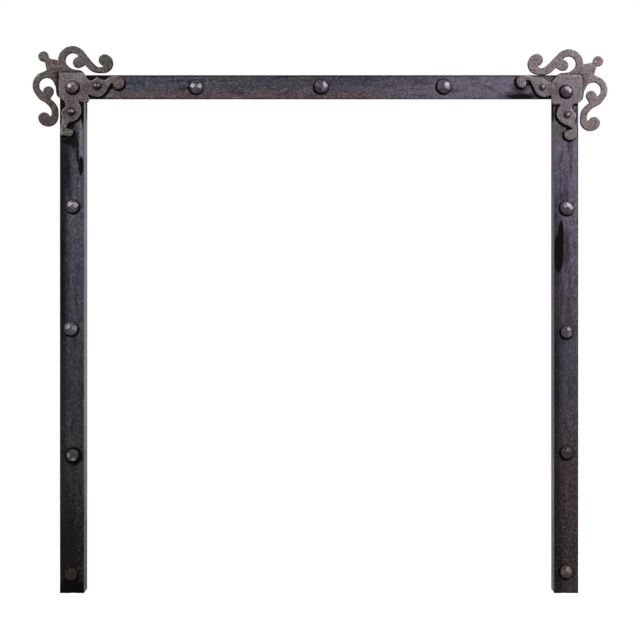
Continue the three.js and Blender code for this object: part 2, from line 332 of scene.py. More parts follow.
def buildBarIron():
    material, tree, shader = newMaterial("barIron")
    grain = grainOf(tree, 520, 0.3)
    broad = patchesAt(tree, drawnPlace(tree, 6), 70, 120)
    small = patchesAt(tree, drawnPlace(tree, 1.6), 130, 260)
    rust, dirt = stain(tree, "rust", 0.42, 60), stain(tree, "dirt", 0.3, 210)
    rubbedAndSheen = stain(tree, "rubbedAndSheen", 0.3, 90)
    soot = painted(tree, "soot")
    olive = calc(tree, "MAXIMUM", scaled(tree, small["Soft"], 0.4), painted(tree, "olive"))
    scratched = calc(tree, "MULTIPLY", small["Hard"], scaled(tree, soot, -0.22, 0.24))
    rusty = blendColours(tree, painted(tree, "dark"), barFinish["brown"], barFinish["darkBrown"])
    tone = layered(tree, barFinish["steel"], {**barFinish, "rusty": rusty}, [
        (broad["Soft"], 1, "blue"), ("violet", 1, "violet"), (olive, 1, "olive"),
        (rust, 1, "rusty"), (rubbedAndSheen, 0.95, "rubbedAndSheen"), (broad["Hard"], 0.5, "scale"),
        (grain["Flecks"], 0.36, "scale"), (soot, 1, "soot"), (scratched, 1, "rubbedAndSheen"), (dirt, 1, "scale")])
    rough = scaled(tree, grain["Flecks"], 0.12, scaled(tree, calc(tree, "MAXIMUM", rust, dirt), 0.25, 0.42))
    clean = calc(tree, "SUBTRACT", 1, dirt)
    feed(tree, shader, {
        "Base Color": tone,
        "Roughness": scaled(tree, dirt, 0.2, rough),
        "Metallic": calc(tree, "MULTIPLY", scaled(tree, rust, -0.35, 0.8), clean),
        "Specular IOR Level": scaled(tree, clean, 0.15, 0.05),
        "Normal": bumped(tree, grain, 0.5, 0.0003)})
    return material


cornerPlateFinish = {
    "name": "cornerPlateIron",
    "left": colour(98, 90, 88), "leftTint": colour(86, 76, 76),
    "right": colour(120, 111, 116), "rightTint": colour(113, 98, 108),
    "brown": colour(68, 53, 54), "worn": colour(158, 150, 153), "rim": colour(54, 48, 50),
    "olive": colour(112, 107, 102), "polishAndHighlight": colour(190, 182, 194),
    "flecks": colour(42, 36, 38), "dirt": colour(13, 10, 11), "grains": 620, "filed": 0.45,
}

scrollPlateFinish = {
    "name": "scrollPlateIron",
    "left": colour(72, 69, 67), "leftTint": colour(64, 57, 54),
    "right": colour(122, 114, 116), "rightTint": colour(128, 105, 114),
    "brown": colour(70, 55, 47), "worn": colour(150, 143, 146), "rim": colour(30, 26, 26),
    "olive": colour(64, 65, 58), "polishAndHighlight": colour(180, 172, 176),
    "flecks": colour(34, 29, 28), "dirt": colour(15, 11, 10), "grains": 600, "filed": 0.15,
}


def buildPlateIron(look):
    material, tree, shader = newMaterial(look["name"])
    grain = grainOf(tree, look["grains"], look["filed"])
    patch, speckle = patchesAt(tree, barePlace(tree), 42, 170), patchesAt(tree, barePlace(tree), 290, 370)
    rim, worn = stain(tree, "rim", 0.25, 220), stain(tree, "worn", 0.35, 160)
    dirt = stain(tree, "dirt", 0.3, 200)
    tint = blendColours(tree, painted(tree, "right"), look["leftTint"], look["rightTint"])
    middle = scaled(tree, painted(tree, "middle"), 0.6)
    tinted = calc(tree, "MAXIMUM", scaled(tree, patch["Soft"], 0.7), middle)
    tone = layered(tree, look["left"], {**look, "tint": tint}, [
        ("right", 1, "right"), (tinted, 1, "tint"), ("olive", 1, "olive"), ("brown", 1, "brown"),
        (speckle["Soft"], 0.36, "worn"), (speckle["Hard"], 0.75, "flecks"), (patch["Hard"], 0.25, "flecks"),
        (grain["Flecks"], 0.3, "flecks"), (rim, 0.85, "rim"), (worn, 0.6, "worn"), ("soot", 1, "dirt"),
        ("polishAndHighlight", 1, "polishAndHighlight"), (dirt, 1, "dirt")])
    rough = scaled(tree, dirt, 0.2, scaled(tree, grain["Flecks"], 0.16, 0.5))
    feed(tree, shader, {"Base Color": tone, "Roughness": rough, "Metallic": 0.7, "Specular IOR Level": 0.2,
                        "Normal": bumped(tree, grain, 0.7, 0.0005)})
    return material


rivetFinish = {
    "metal": colour(118, 112, 119),
    "dark": colour(52, 47, 52),
    "brownCast": (1, 0.62, 0.42, 1),
    "violetCast": (0.95, 0.78, 1, 1),
    "worn": colour(164, 158, 168),
    "shade": colour(18, 14, 16),
}


def buildRivetIron():
    material, tree, shader = newMaterial("rivetIron")
    look = rivetFinish
    grain = grainOf(tree, 800, 0.0)
    patch = patchesAt(tree, barePlace(tree), 260, 420)
    shade, worn = stain(tree, "shade", 0.25, 400), stain(tree, "worn", 0.8, 380)
    tone = layered(tree, look["metal"], look, [
        ("facet", 0.75, "dark"), (patch["Soft"], 0.35, "dark"), (patch["Hard"], 0.6, "dark"),
        (grain["Flecks"], 0.25, "dark"), ("dull", 1, "dark"), (worn, 0.72, "worn")])
    for cast in ("brown", "violet"):
        tone = blendColours(tree, painted(tree, cast), tone, look[cast + "Cast"], "MULTIPLY")
    tone = blendColours(tree, shade, tone, look["shade"])
    rough = scaled(tree, shade, 0.25, scaled(tree, grain["Flecks"], 0.15, 0.54))
    feed(tree, shader, {"Base Color": tone, "Roughness": rough, "Metallic": 0.8, "Specular IOR Level": 0.2,
                        "Normal": bumped(tree, grain, 0.8, 0.0005)})
    return material


barIron = buildBarIron()
cornerPlateIron = buildPlateIron(cornerPlateFinish)
scrollPlateIron = buildPlateIron(scrollPlateFinish)
rivetIron = buildRivetIron()
print("finishes made")


# Mesh helpers

def newObject(name, verts, faces):
    mesh = bpy.data.meshes.new(name)
    mesh.from_pydata([tuple(v) for v in verts], [], faces)
    work = bmesh.new()
    work.from_mesh(mesh)
    bmesh.ops.recalc_face_normals(work, faces=work.faces)
    work.to_mesh(mesh)
    work.free()
    return addObject(name, mesh)


def solidFromRings(name, rings):
    # joins rings of points, one after another, and closes the two ends
    count, last = len(rings[0]), len(rings) * len(rings[0]) - 1
    faces = []
    for start in range(0, last + 1 - count, count):
        for i in range(count):
            j = (i + 1) % count
            faces.append((start + i, start + j, start + count + j, start + count + i))
    faces.append(list(range(count)))
    faces.append(list(range(last, last - count, -1)))
    return newObject(name, [p for ring in rings for p in ring], faces)


def applyModifiers(piece):
    graph = bpy.context.evaluated_depsgraph_get()
    old = piece.data
    piece.data = bpy.data.meshes.new_from_object(piece.evaluated_get(graph))
    piece.modifiers.clear()
    bpy.data.meshes.remove(old)


def readPoints(piece, source="vertices", field="co"):
    flat = np.empty(len(piece.data.vertices) * 3, np.float32)
    getattr(piece.data, source).foreach_get(field, flat)
    return flat.reshape(-1, 3).astype(float)


def writePoints(piece, points):
    piece.data.vertices.foreach_set("co", points.astype(np.float32).ravel())
    piece.data.update()


def soften(piece, rounds, strength):
    # draws each point towards the middle of its neighbours
    edges = np.empty(len(piece.data.edges) * 2, np.int32)
    piece.data.edges.foreach_get("vertices", edges)
    first, second = edges.reshape(-1, 2).T
    points = readPoints(piece)
    count = np.bincount(np.concatenate([first, second]), minlength=len(points))
    for _ in range(rounds):
        mean = np.empty_like(points)
        for axis in range(3):
            mean[:, axis] = np.bincount(first, points[second, axis], len(points))
            mean[:, axis] += np.bincount(second, points[first, axis], len(points))
        points += strength * (mean / count[:, None] - points)
    writePoints(piece, points)


def roughness(points, perMetre, seed=0):
    # smooth noise from 0 to 1 at each point; perMetre may differ by axis
    scale = Vector(perMetre) if hasattr(perMetre, "__len__") else Vector((perMetre,) * 3)
    offset = Vector((seed * 7.3, seed * 3.1, seed * 5.7))
    values = [noise.noise(Vector((p[0] * scale.x, p[1] * scale.y, p[2] * scale.z)) + offset) for p in points]
    return np.clip(0.5 + 0.5 * np.array(values), 0, 1)


def rise(values, low, high):
    # 0 below low, 1 above high, and smooth between them
    t = np.clip((np.asarray(values) - low) / (high - low), 0, 1)
    return t * t * (3 - 2 * t)


def fall(values, low, high):
    return 1 - rise(values, low, high)


def keepInBox(piece, box):
    points = readPoints(piece)
    writePoints(piece, np.clip(points, np.array(box[0]), np.array(box[1])))


def sink(piece, box, depthAt):
    # moves each point inward by depthAt(points, normals), and keeps the piece in its box
    points, normals = readPoints(piece), readPoints(piece, "vertex_normals", "vector")
    writePoints(piece, points - normals * depthAt(points, normals)[:, None])
    keepInBox(piece, box)


def paint(piece, **layers):
    # values at the piece's points, for the finishes to read
    for name, values in layers.items():
        layer = piece.data.attributes.new(name, "FLOAT", "POINT")
        layer.data.foreach_set("value", np.full(len(piece.data.vertices), values, np.float32))


def finishPiece(piece, node, material, sharpAngle=38):
    piece.data.materials.clear()
    piece.data.materials.append(material)
    piece.data.shade_smooth()
    piece.data.set_sharp_from_angle(angle=math.radians(sharpAngle))
    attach(piece, "root")
    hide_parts(node)


# Rivets: where they are, and the holes they pass through

def rivetAxis(node):
    # the closed tail is round, so its box gives the axis
    low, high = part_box(node)
    tailSkin = 0.0019
    tail = [v.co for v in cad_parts[node].data.vertices if v.co.y > high.y - tailSkin]
    xs, zs = [p.x for p in tail], [p.z for p in tail]
    return Vector(((min(xs) + max(xs)) / 2, (min(zs) + max(zs)) / 2))


def seatOf(node):
    # where the head sits and where the tail starts
    if "corner_rivet" in node:
        return plateFaceY, scrollBackY
    if "arm_rivet" in node:
        return plateFaceY, faceY + flangeThickness
    return faceY, faceY + flangeThickness


# How each head looks: its size in its box, how dull, brown and violet it is, and its bright flats as
# (direction, tilt, strength). The bright flats face the lamps and are painted lighter: wear, and a painted
# highlight
rivetWear = {
    "left_corner_rivet": (0.96, 0, 0.3, 0, [(148, 25, 0.65), (95, 24, 0.4), (10, 27, 0.35)]),
    "left_arm_rivet_top": (1, 0.95, 0.5, 0.3, [(150, 24, 0.55), (32, 24, 0.65)]),
    "left_arm_rivet_side": (1, 0.95, 0.25, 0, [(150, 24, 0.5), (32, 24, 1)]),
    "lintel_rivet_left": (0.95, 0.1, 0, 0, [(155, 24, 0.65), (18, 27, 0.85)]),
    "lintel_rivet_middle": (0.98, 0.4, 0, 0.25, [(20, 28, 0.9), (-35, 30, 0.45)]),
    "lintel_rivet_right": (1, 0.1, 0, 0.35, [(40, 21, 0.8), (-5, 26, 0.65)]),
    "right_arm_rivet_side": (0.92, 0.4, 0.35, 0, [(30, 16, 0.9)]),
    "right_arm_rivet_top": (0.92, 0.2, 0, 0.15, [(40, 16, 0.6)]),
    "right_corner_rivet": (0.94, 0.4, 0, 0.35, [(15, 27, 0.9), (75, 25, 0.6)]),
    "left_leg_rivet_1": (0.93, 0.15, 0, 0, [(145, 25, 0.5), (30, 25, 0.65)]),
    "left_leg_rivet_2": (0.97, 0.1, 0, 0, [(140, 24, 0.55), (8, 30, 0.55)]),
    "left_leg_rivet_3": (0.86, 0.45, 0, 0, [(170, 32, 0.7), (-70, 30, 0.6)]),
    "left_leg_rivet_4": (0.9, 1, 0.6, 0, [(165, 28, 0.15)]),
    "right_leg_rivet_1": (0.96, 0, 0, 0.15, [(62, 25, 1), (15, 28, 0.8), (115, 24, 0.5)]),
    "right_leg_rivet_2": (0.88, 0.25, 0, 0, [(60, 26, 0.5), (-30, 24, 0.5)]),
    "right_leg_rivet_3": (0.92, 0.75, 0.1, 0, [(75, 17, 0.4)]),
    "right_leg_rivet_4": (0.93, 0.45, 0.5, 0, [(70, 24, 0.7), (20, 24, 0.6), (160, 26, 0.4)]),
}


def headRadius(name):
    low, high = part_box(name)
    size = rivetWear[name][0]
    return (high.x - low.x) / 2 * size


rivetNames = sorted(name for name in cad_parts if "rivet" in name)
rivetAxes = {name: rivetAxis(name) for name in rivetNames}
shankRadius = {name: 0.003 if "arm_rivet" in name else 0.005 for name in rivetNames}
holeLook = {"clearance": 0.0003, "length": 0.06, "segments": 32}


def drill(piece, names):
    work = bmesh.new()
    for name in names:
        radius, axis = shankRadius[name] + holeLook["clearance"], rivetAxes[name]
        hole = bmesh.ops.create_cone(work, cap_ends=True, segments=holeLook["segments"],
                                     depth=holeLook["length"], radius1=radius, radius2=radius)
        for v in hole["verts"]:
            v.co = (axis.x + v.co.x, v.co.z, axis.y + v.co.y)
    bmesh.ops.recalc_face_normals(work, faces=work.faces)
    mesh = bpy.data.meshes.new("holes")
    work.to_mesh(mesh)
    work.free()
    cutter = addObject("holes", mesh)
    cut = piece.modifiers.new("holes", "BOOLEAN")
    cut.operation = "DIFFERENCE"
    cut.solver = "EXACT"
    cut.object = cutter
    applyModifiers(piece)
    bpy.data.objects.remove(cutter)


# Painted shade: the black round each rivet lies on the side that faces away from the lamps
shadeDrift = {"left": (0.0005, -0.0008), "right": (-0.0008, -0.0007), "lintel": (-0.0006, -0.0007)}


def nearRivets(points, names, drift):
    # metres from each point to the rim of the nearest head, seen from the front; drift moves the heads
    best = np.full(len(points), 1.0)
    for name in names:
        axis = rivetAxes[name]
        away = np.hypot(points[:, 0] - axis.x - drift[0], points[:, 2] - axis.y - drift[1])
        best = np.minimum(best, away - headRadius(name))
    return best


# Plate outlines

outlineLook = {
    "weld": 2e-5,
    "step": 0.0008,
    "cornerTurn": 46,      # degrees; a sharper turn than this stays a corner
}


def rimLoop(node):
    # the plate's outline, from the rim between its front chamfer and its wall
    work = bmesh.new()
    work.from_mesh(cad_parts[node].data)
    bmesh.ops.remove_doubles(work, verts=work.verts, dist=outlineLook["weld"])
    levels = sorted({round(v.co.y, 5) for v in work.verts})
    links = {}
    for edge in work.edges:
        ends = edge.verts
        if all(abs(v.co.y - levels[1]) < outlineLook["weld"] for v in ends):
            links.setdefault(ends[0].index, []).append(ends[1].index)
            links.setdefault(ends[1].index, []).append(ends[0].index)
    work.verts.ensure_lookup_table()
    start = next(iter(links))
    walk, last, here = [start], None, start
    while True:
        onward = [i for i in links[here] if i != last]
        last, here = here, onward[0]
        if here == start:
            break
        walk.append(here)
    points = np.array([(work.verts[i].co.x, work.verts[i].co.z) for i in walk])
    work.free()
    return points


def smoothLoop(points):
    # a smooth curve through the points, in even steps, that keeps the real corners
    count = len(points)
    before, after = points - np.roll(points, 1, 0), np.roll(points, -1, 0) - points
    turn = np.abs(np.degrees(np.arctan2(
        before[:, 0] * after[:, 1] - before[:, 1] * after[:, 0], (before * after).sum(1))))
    isCorner = turn > outlineLook["cornerTurn"]
    curve = []
    for i in range(count):
        b, c = points[i], points[(i + 1) % count]
        a = 2 * b - c if isCorner[i] else points[i - 1]
        d = 2 * c - b if isCorner[(i + 1) % count] else points[(i + 2) % count]
        ab, bc, cd = [max(np.linalg.norm(q - p), 1e-6) ** 0.5 for p, q in ((a, b), (b, c), (c, d))]
        leave = bc * ((b - a) / ab - (c - a) / (ab + bc) + (c - b) / bc)
        arrive = bc * ((c - b) / bc - (d - b) / (bc + cd) + (d - c) / cd)
        for t in np.arange(0, 1, 0.1):
            curve.append((2 * t**3 - 3 * t**2 + 1) * b + (t**3 - 2 * t**2 + t) * leave
                         + (3 * t**2 - 2 * t**3) * c + (t**3 - t**2) * arrive)
    curve = np.array(curve + [curve[0]])
    along = np.concatenate([[0], np.cumsum(np.linalg.norm(np.diff(curve, axis=0), axis=1))])
    spots = np.linspace(0, along[-1], int(along[-1] / outlineLook["step"]), endpoint=False)
    even = np.stack([np.interp(spots, along, curve[:, 0]), np.interp(spots, along, curve[:, 1])], 1)
    area = (even[:, 0] * np.roll(even[:, 1], -1) - even[:, 1] * np.roll(even[:, 0], -1)).sum()
    return even[::-1] if area < 0 else even


def outwardAlong(loop):
    # the way out of the plate at each point of its outline
    along = np.roll(loop, -1, 0) - np.roll(loop, 1, 0)
    along /= np.linalg.norm(along, axis=1)[:, None]
    return np.stack([along[:, 1], -along[:, 0]], 1)


def outlineTree(points):
    tree = KDTree(len(points))
    for i, (x, z) in enumerate(points):
        tree.insert((x, 0, z), i)
    tree.balance()
    return tree


def nearOutline(points, name):
    # how far each point is from the plate's outline, and the way out of the plate there
    found = [outlineTrees[name].find((p[0], 0, p[2])) for p in points]
    return np.array([f[2] for f in found]), outwardAlong(outlines[name])[[f[1] for f in found]]


# Painted shade with grime beside the corner plates: in their notches, and along their edges
grimeAndShadeLook = {
    "reach": 0.011,            # a spot is in a notch if much outline is nearer than this
    "notch": (1.2, 1.9),       # how much, against a straight edge
    "notchDepth": (0.0045, 0.009),
    "shadowed": {"left": (0.6, -0.8), "right": (-0.78, -0.62)},   # edges that face this way, away from the lamps, get more painted shade
    "contact": (0.0022, 0.0098),   # how wide the line is, least and most
    "strength": (0.7, 0.97),
}


def grimeAndShadeBeside(points, name):
    # painted shade with grime: black in the notches of a plate above, and a thin dark line along its other
    # edges, wider and darker where they face away from the lamps
    away, outward = nearOutline(points, name)
    straight = 2 * grimeAndShadeLook["reach"] / outlineLook["step"]
    towards = np.array(grimeAndShadeLook["shadowed"][name.split("_")[0]])
    shadowed = rise(outward @ towards, -0.2, 0.75)
    (thin, wide), (weak, strong) = grimeAndShadeLook["contact"], grimeAndShadeLook["strength"]
    grimeAndShade = (weak + (strong - weak) * shadowed) * fall(away, 0.0008, thin + (wide - thin) * shadowed)
    for i in np.flatnonzero(away < grimeAndShadeLook["notchDepth"][1]):
        x, _, z = points[i]
        around = len(outlineTrees[name].find_range((x, 0, z), grimeAndShadeLook["reach"])) / straight
        shut = rise(around, *grimeAndShadeLook["notch"]) * fall(away[i], *grimeAndShadeLook["notchDepth"])
        grimeAndShade[i] = max(grimeAndShade[i], shut)
    return grimeAndShade


plateNames = ["left_corner_plate", "right_corner_plate", "left_scroll_plate", "right_scroll_plate"]
outlines = {name: smoothLoop(rimLoop(name)) for name in plateNames}
outlineTrees = {name: outlineTree(points) for name, points in outlines.items()}
print("plate outlines read:", {name: len(points) for name, points in outlines.items()})


# Ornament plates

plateLook = {
    "frontRound": 0.0019,
    "backRound": 0.0007,
    "roundSteps": 5,
    "voxel": 0.0008,
    "softening": (5, 0.5),
    "waves": 45,               # per metre
    "waveDepth": 0.00035,
    "grains": (520, 520, 230),
    "grainDepth": 0.00016,
    "rim": (0.0008, 0.0034),   # how far the dark rim (painted shade on edges that face down) and the light edge (wear and painted highlight) come in from the outline
    "wear": (0.0005, 0.0025),
    "middle": (0.002, 0.005),
    "contact": (0.0002, 0.003),    # how far black, painted shade drifted away from the lamps, reaches round the corner rivet
    "haloReach": (0.0004, 0.0042),
    "halo": {"left": 0.75, "right": 0.3},        # painted shade round the small rivets, drifted away from the lamps
    "rightEdge": {"left": 0.7, "right": 1.0},    # painted highlight on edges that face right
    "fromAbove": {"left": (-0.5, 0.86), "right": (0.5, 0.86)},   # the way the light comes from; edges that face away from it get painted shade
}

# Spots on each plate as (in from the leg's outer edge, up from the lintel's upper edge, radius, strength). A
# dimple has its depth in place of the strength.
platePatches = {
    "left_corner_plate": {
        "brown": [
            (0.079, -0.024, 0.034, 0.9), (0.024, -0.079, 0.032, 0.8), (0.05, -0.036, 0.032, 0.8),
            (0.02, -0.055, 0.03, 0.7), (0.125, -0.015, 0.03, 0.8), (0.012, -0.075, 0.03, 0.9),
            (0.0108, -0.112, 0.012, 0.9)],
        "olive": [(0.042, -0.009, 0.024, 0.7), (0.095, -0.01, 0.02, 0.4), (0.014, -0.12, 0.022, 0.15)],
        "soot": [
            (0.017, -0.0725, 0.024, 0.32), (0.015, -0.1176, 0.024, 0.24), (0.0497, -0.0273, 0.022, 0.2),
            (0.0234, -0.0535, 0.02, 0.12)],
        # bright spots on the edges: polish, and painted highlights
        "polishAndHighlight": [
            (0.0116, -0.068, 0.0024, 0.5), (0.0117, -0.1077, 0.0024, 0.45), (0.0038, -0.115, 0.0026, 0.35),
            (0.0045, -0.1195, 0.0026, 0.4), (0.0062, -0.1235, 0.0026, 0.3), (0.0258, -0.119, 0.0026, 0.3)],
        "dimple": [(0.0108, -0.1168, 0.0032, 0.0008)],
    },
    "right_corner_plate": {
        "brown": [
            (0.05, -0.032, 0.026, 0.8), (0.03, -0.07, 0.026, 0.3), (0.12, -0.01, 0.02, 0.3),
            (0.02, -0.055, 0.024, 0.3)],
        "olive": [(0.04, -0.004, 0.024, 0.5), (0.075, -0.012, 0.03, 0.4)],
        # bright spots on the edges: polish, and painted highlights
        "polishAndHighlight": [
            (0.006, -0.0027, 0.0022, 1.0), (0.0533, -0.024, 0.0022, 0.6), (0.0145, -0.068, 0.003, 0.35),
            (0.0115, -0.0735, 0.003, 0.55), (0.0085, -0.0785, 0.003, 0.55), (0.0065, -0.084, 0.003, 0.4),
            (0.1125, -0.0165, 0.0028, 0.6), (0.024, -0.002, 0.0018, 0.5)],
        "dimple": [(0.1144, -0.0176, 0.0032, 0.0008)],
    },
    "left_scroll_plate": {
        "brown": [
            (-0.0145, 0.0185, 0.034, 0.9), (0.002, -0.05, 0.03, 0.4), (-0.026, -0.084, 0.055, 0.8),
            (-0.022, -0.035, 0.03, 0.5)],
        "olive": [(0.1, 0.032, 0.03, 0.8), (-0.045, -0.018, 0.03, 0.5)],
        "soot": [
            (-0.011, -0.069, 0.03, 0.28), (-0.031, -0.0935, 0.03, 0.24), (-0.023, -0.035, 0.022, 0.15),
            (0.097, 0.0325, 0.024, 0.17)],
    },
    "right_scroll_plate": {
        "brown": [(-0.004, -0.004, 0.026, 0.55)],
        "dimple": [(-0.0395, 0.031, 0.0046, 0.0008)],
    },
}

# Painted shade on the scroll plate round the corner plate in front of it, in the recess behind it, as
# (strength, from, to) in metres
behindPlate = {
    "left": {"side": (0.95, 0.003, 0.0135), "above": (0.8, 0.0, 0.008)},
    "right": {"side": (0.5, 0.001, 0.009), "above": (0.35, 0.0, 0.008)},
}


def platePrism(name, yFront, yBack):
    steps = plateLook["roundSteps"]
    rings = []
    for radius, y, inward in ((plateLook["frontRound"], yFront, 1), (plateLook["backRound"], yBack, -1)):
        for k in range(steps + 1):
            turn = math.pi / 2 * (k / steps if inward > 0 else 1 - k / steps)
            level = y + inward * radius * (1 - math.cos(turn))
            loop = outlines[name] - radius * (1 - math.sin(turn)) * outwardAlong(outlines[name])
            rings.append([(x, level, z) for x, z in loop])
    return solidFromRings(name + "_iron", rings)


def spot(points, name, place, radius, core=0.3):
    # 1 within the core of a round spot on a plate, seen from the front, and 0 outside it
    inward, up = place
    across = leftLeg[0].x + inward if name.startswith("left") else rightLeg[1].x - inward
    return fall(np.hypot(points[:, 0] - across, points[:, 2] - barTop - up), core * radius, radius)


def spotMask(points, name, kind):
    mask = np.zeros(len(points))
    for *place, radius, strength in platePatches[name].get(kind, []):
        mask = np.maximum(mask, strength * spot(points, name, place, radius))
    return mask


def plateRelief(name, seed):
    # hand-forged waves, casting grain drawn out upward, and the dimples in the front
    def depthAt(points, normals):
        sunk = roughness(points, plateLook["waves"], seed) * plateLook["waveDepth"]
        sunk += roughness(points, plateLook["grains"], seed + 1) * plateLook["grainDepth"]
        for *place, radius, depth in platePatches[name].get("dimple", []):
            sunk += spot(points, name, place, radius, 0.15) * depth * (normals[:, 1] < -0.5)
        return sunk
    return depthAt


def paintPlate(piece, name, holes):
    points = readPoints(piece)
    low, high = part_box(name)
    side = name.split("_")[0]
    inside, outward = nearOutline(points, name)
    under = rise(-(outward @ np.array(plateLook["fromAbove"][side])), -0.1, 0.8)
    nearRim, nearEdge = fall(inside, *plateLook["rim"]), fall(inside, *plateLook["wear"])
    inFront = points[:, 1] < (low.y + high.y) / 2
    cornerRivet, *armRivets = holes
    # painted shade: black round the corner rivet, drifted away from the lamps
    dirt = 0.9 * fall(nearRivets(points, [cornerRivet], shadeDrift[side]), *plateLook["contact"])
    if "scroll" in name:
        cornerPlate = name.replace("scroll", "corner")
        away = nearOutline(points, cornerPlate)[0]
        plateLow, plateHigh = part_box(cornerPlate)
        beside = np.maximum(plateLow.x - points[:, 0] if side == "left" else points[:, 0] - plateHigh.x, 0)
        above = np.maximum(points[:, 2] - plateHigh.z, 0.0001)
        # painted shade beside and above the corner plate in front
        soot = np.zeros(len(points))
        for where, share in (("side", beside / (beside + above)), ("above", above / (beside + above))):
            strength, start, end = behindPlate[side][where]
            soot += share * strength * fall(away, start, end)
        # painted shade on the edges that face down, and a painted highlight on those that face up
        rim = nearRim * (0.15 + 0.85 * under)
        worn = 0.25 * nearEdge * (1 - under)
    else:
        # painted shade round the small rivets, drifted away from the lamps
        away = nearRivets(points, armRivets, shadeDrift[side])
        soot = plateLook["halo"][side] * fall(away, *plateLook["haloReach"])
        # painted shade on the edges that face down
        rim = 0.25 * nearRim * under
        worn = nearEdge * (0.25 + 0.75 * rise(roughness(points, 60, 17), 0.4, 0.62))
        # painted highlight on the edges that face right
        worn = np.maximum(worn, plateLook["rightEdge"][side] * nearEdge * rise(outward[:, 0], 0.8, 0.98))
    soot = np.maximum(soot, spotMask(points, name, "soot"))
    paint(piece, rim=rim, middle=rise(inside, *plateLook["middle"]), right=side == "right",
          worn=np.where(inFront, worn, 0), dirt=np.where(inFront, dirt, 0.3), soot=np.where(inFront, soot, 0))
    paint(piece, **{tint: spotMask(points, name, tint) for tint in ("brown", "olive", "polishAndHighlight")})


def buildPlate(name, material, holes, seed):
    low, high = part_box(name)
    piece = platePrism(name, low.y, high.y)
    remesh = piece.modifiers.new("even", "REMESH")
    remesh.mode = "VOXEL"
    remesh.voxel_size = plateLook["voxel"]
    applyModifiers(piece)
    soften(piece, *plateLook["softening"])
    sink(piece, (low, high), plateRelief(name, seed))
    drill(piece, holes)
    paintPlate(piece, name, holes)
    finishPiece(piece, name, material)
    print(name, len(piece.data.vertices), "points")


for seed, side in enumerate(("left", "right")):
    holes = [f"{side}_corner_rivet", f"{side}_arm_rivet_top", f"{side}_arm_rivet_side"]
    buildPlate(f"{side}_corner_plate", cornerPlateIron, holes, 3 + seed)
    buildPlate(f"{side}_scroll_plate", scrollPlateIron, holes[:1], 8 + seed)


# Bars

barLook = {
    "arris": 0.0003,           # wear on the outer edges
    "toe": 0.003,
    "root": 0.005,
    "arcSteps": 5,
    "step": 0.002,
    "waves": 28,               # per metre
    "waveDepth": 0.0002,
    "scales": 260,
    "scaleDepth": 0.00012,
    "nicks": 75,
    "nickDepth": 0.0006,
    "arrisTilt": 0.35,         # a normal with more than this along two axes is on an arris
    "contact": (0.0004, 0.0036),   # how far black, painted shade drifted away from the lamps, reaches round the rivets
    "edgeLine": (0.0004, 0.0016),
    "patchEdge": (0.45, 1.3),  # from where to where a patch fades, in its half sizes
    "faceDepth": 0.0015,       # what lies deeper than this is painted as a side, not as the face
    "skin": 0.001,
}


# The sections as (across the face from the outer edge, back from the face, radius)
innerFace = flangeWidth - flangeThickness
angleIron = [
    (0, 0, barLook["arris"]), (flangeWidth, 0, barLook["arris"]),
    (flangeWidth, flangeWidth, barLook["arris"]), (innerFace, flangeWidth, barLook["toe"]),
    (innerFace, flangeThickness, barLook["root"]), (0, flangeThickness, barLook["toe"]),
]
flatBar = [
    (0, 0, barLook["arris"]), (flangeWidth, 0, barLook["arris"]),
    (flangeWidth, flangeThickness, barLook["arris"]), (0, flangeThickness, barLook["arris"]),
]


def roundSection(corners):
    points = []
    for i, (across, back, radius) in enumerate(corners):
        here = Vector((across, back))
        arriving = (Vector(corners[i - 1][:2]) - here).normalized()
        leaving = (Vector(corners[(i + 1) % len(corners)][:2]) - here).normalized()
        centre = here + (arriving + leaving) * radius
        arc = []
        for k in range(barLook["arcSteps"] + 1):
            turn = math.pi / 2 * k / barLook["arcSteps"]
            arc.append(centre - leaving * radius * math.cos(turn) - arriving * radius * math.sin(turn))
        if points:
            points += straight(points[-1], arc[0])
        points += arc
    return points + straight(points[-1], points[0])


def straight(start, end):
    # the points between two others, without the two themselves
    pieces = max(1, math.ceil((end - start).length / barLook["step"]))
    return [start.lerp(end, k / pieces) for k in range(1, pieces)]


def sweepBar(name, corners, placeAt, length):
    # placeAt(across, back, part) gives the point at that part of the bar's mitred length
    section = roundSection(corners)
    stations = math.ceil(length / barLook["step"])
    rings = [[placeAt(p.x, p.y, station / stations) for p in section] for station in range(stations + 1)]
    return solidFromRings(name + "_bar", rings)


def legPlace(name):
    low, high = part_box(name)
    isLeft = name.startswith("left")

    def placeAt(across, back, part):
        x = low.x + across if isLeft else high.x - across
        return (x, low.y + back, low.z + part * (high.z - low.z - across))
    return placeAt


def lintelPlace(across, back, part):
    low, high = lintelBar
    start, end = low.x + across, high.x - across
    return (start + part * (end - start), low.y + back, high.z - across)


def barRelief(seed):
    # mill waves, forge scale, and nicks in the arrises of the face
    def depthAt(points, normals):
        sunk = roughness(points, barLook["waves"], seed) * barLook["waveDepth"]
        sunk += roughness(points, barLook["scales"], seed + 1) * barLook["scaleDepth"]
        sideways, forward, upward = np.abs(normals.T) > barLook["arrisTilt"]
        nicks = rise(roughness(points, barLook["nicks"], seed + 2), 0.55, 0.85) * barLook["nickDepth"]
        return sunk + nicks * ((sideways | upward) & forward)
    return depthAt


def hump(values, middle, halfWidth):
    return fall(np.abs(values - middle), 0, halfWidth)
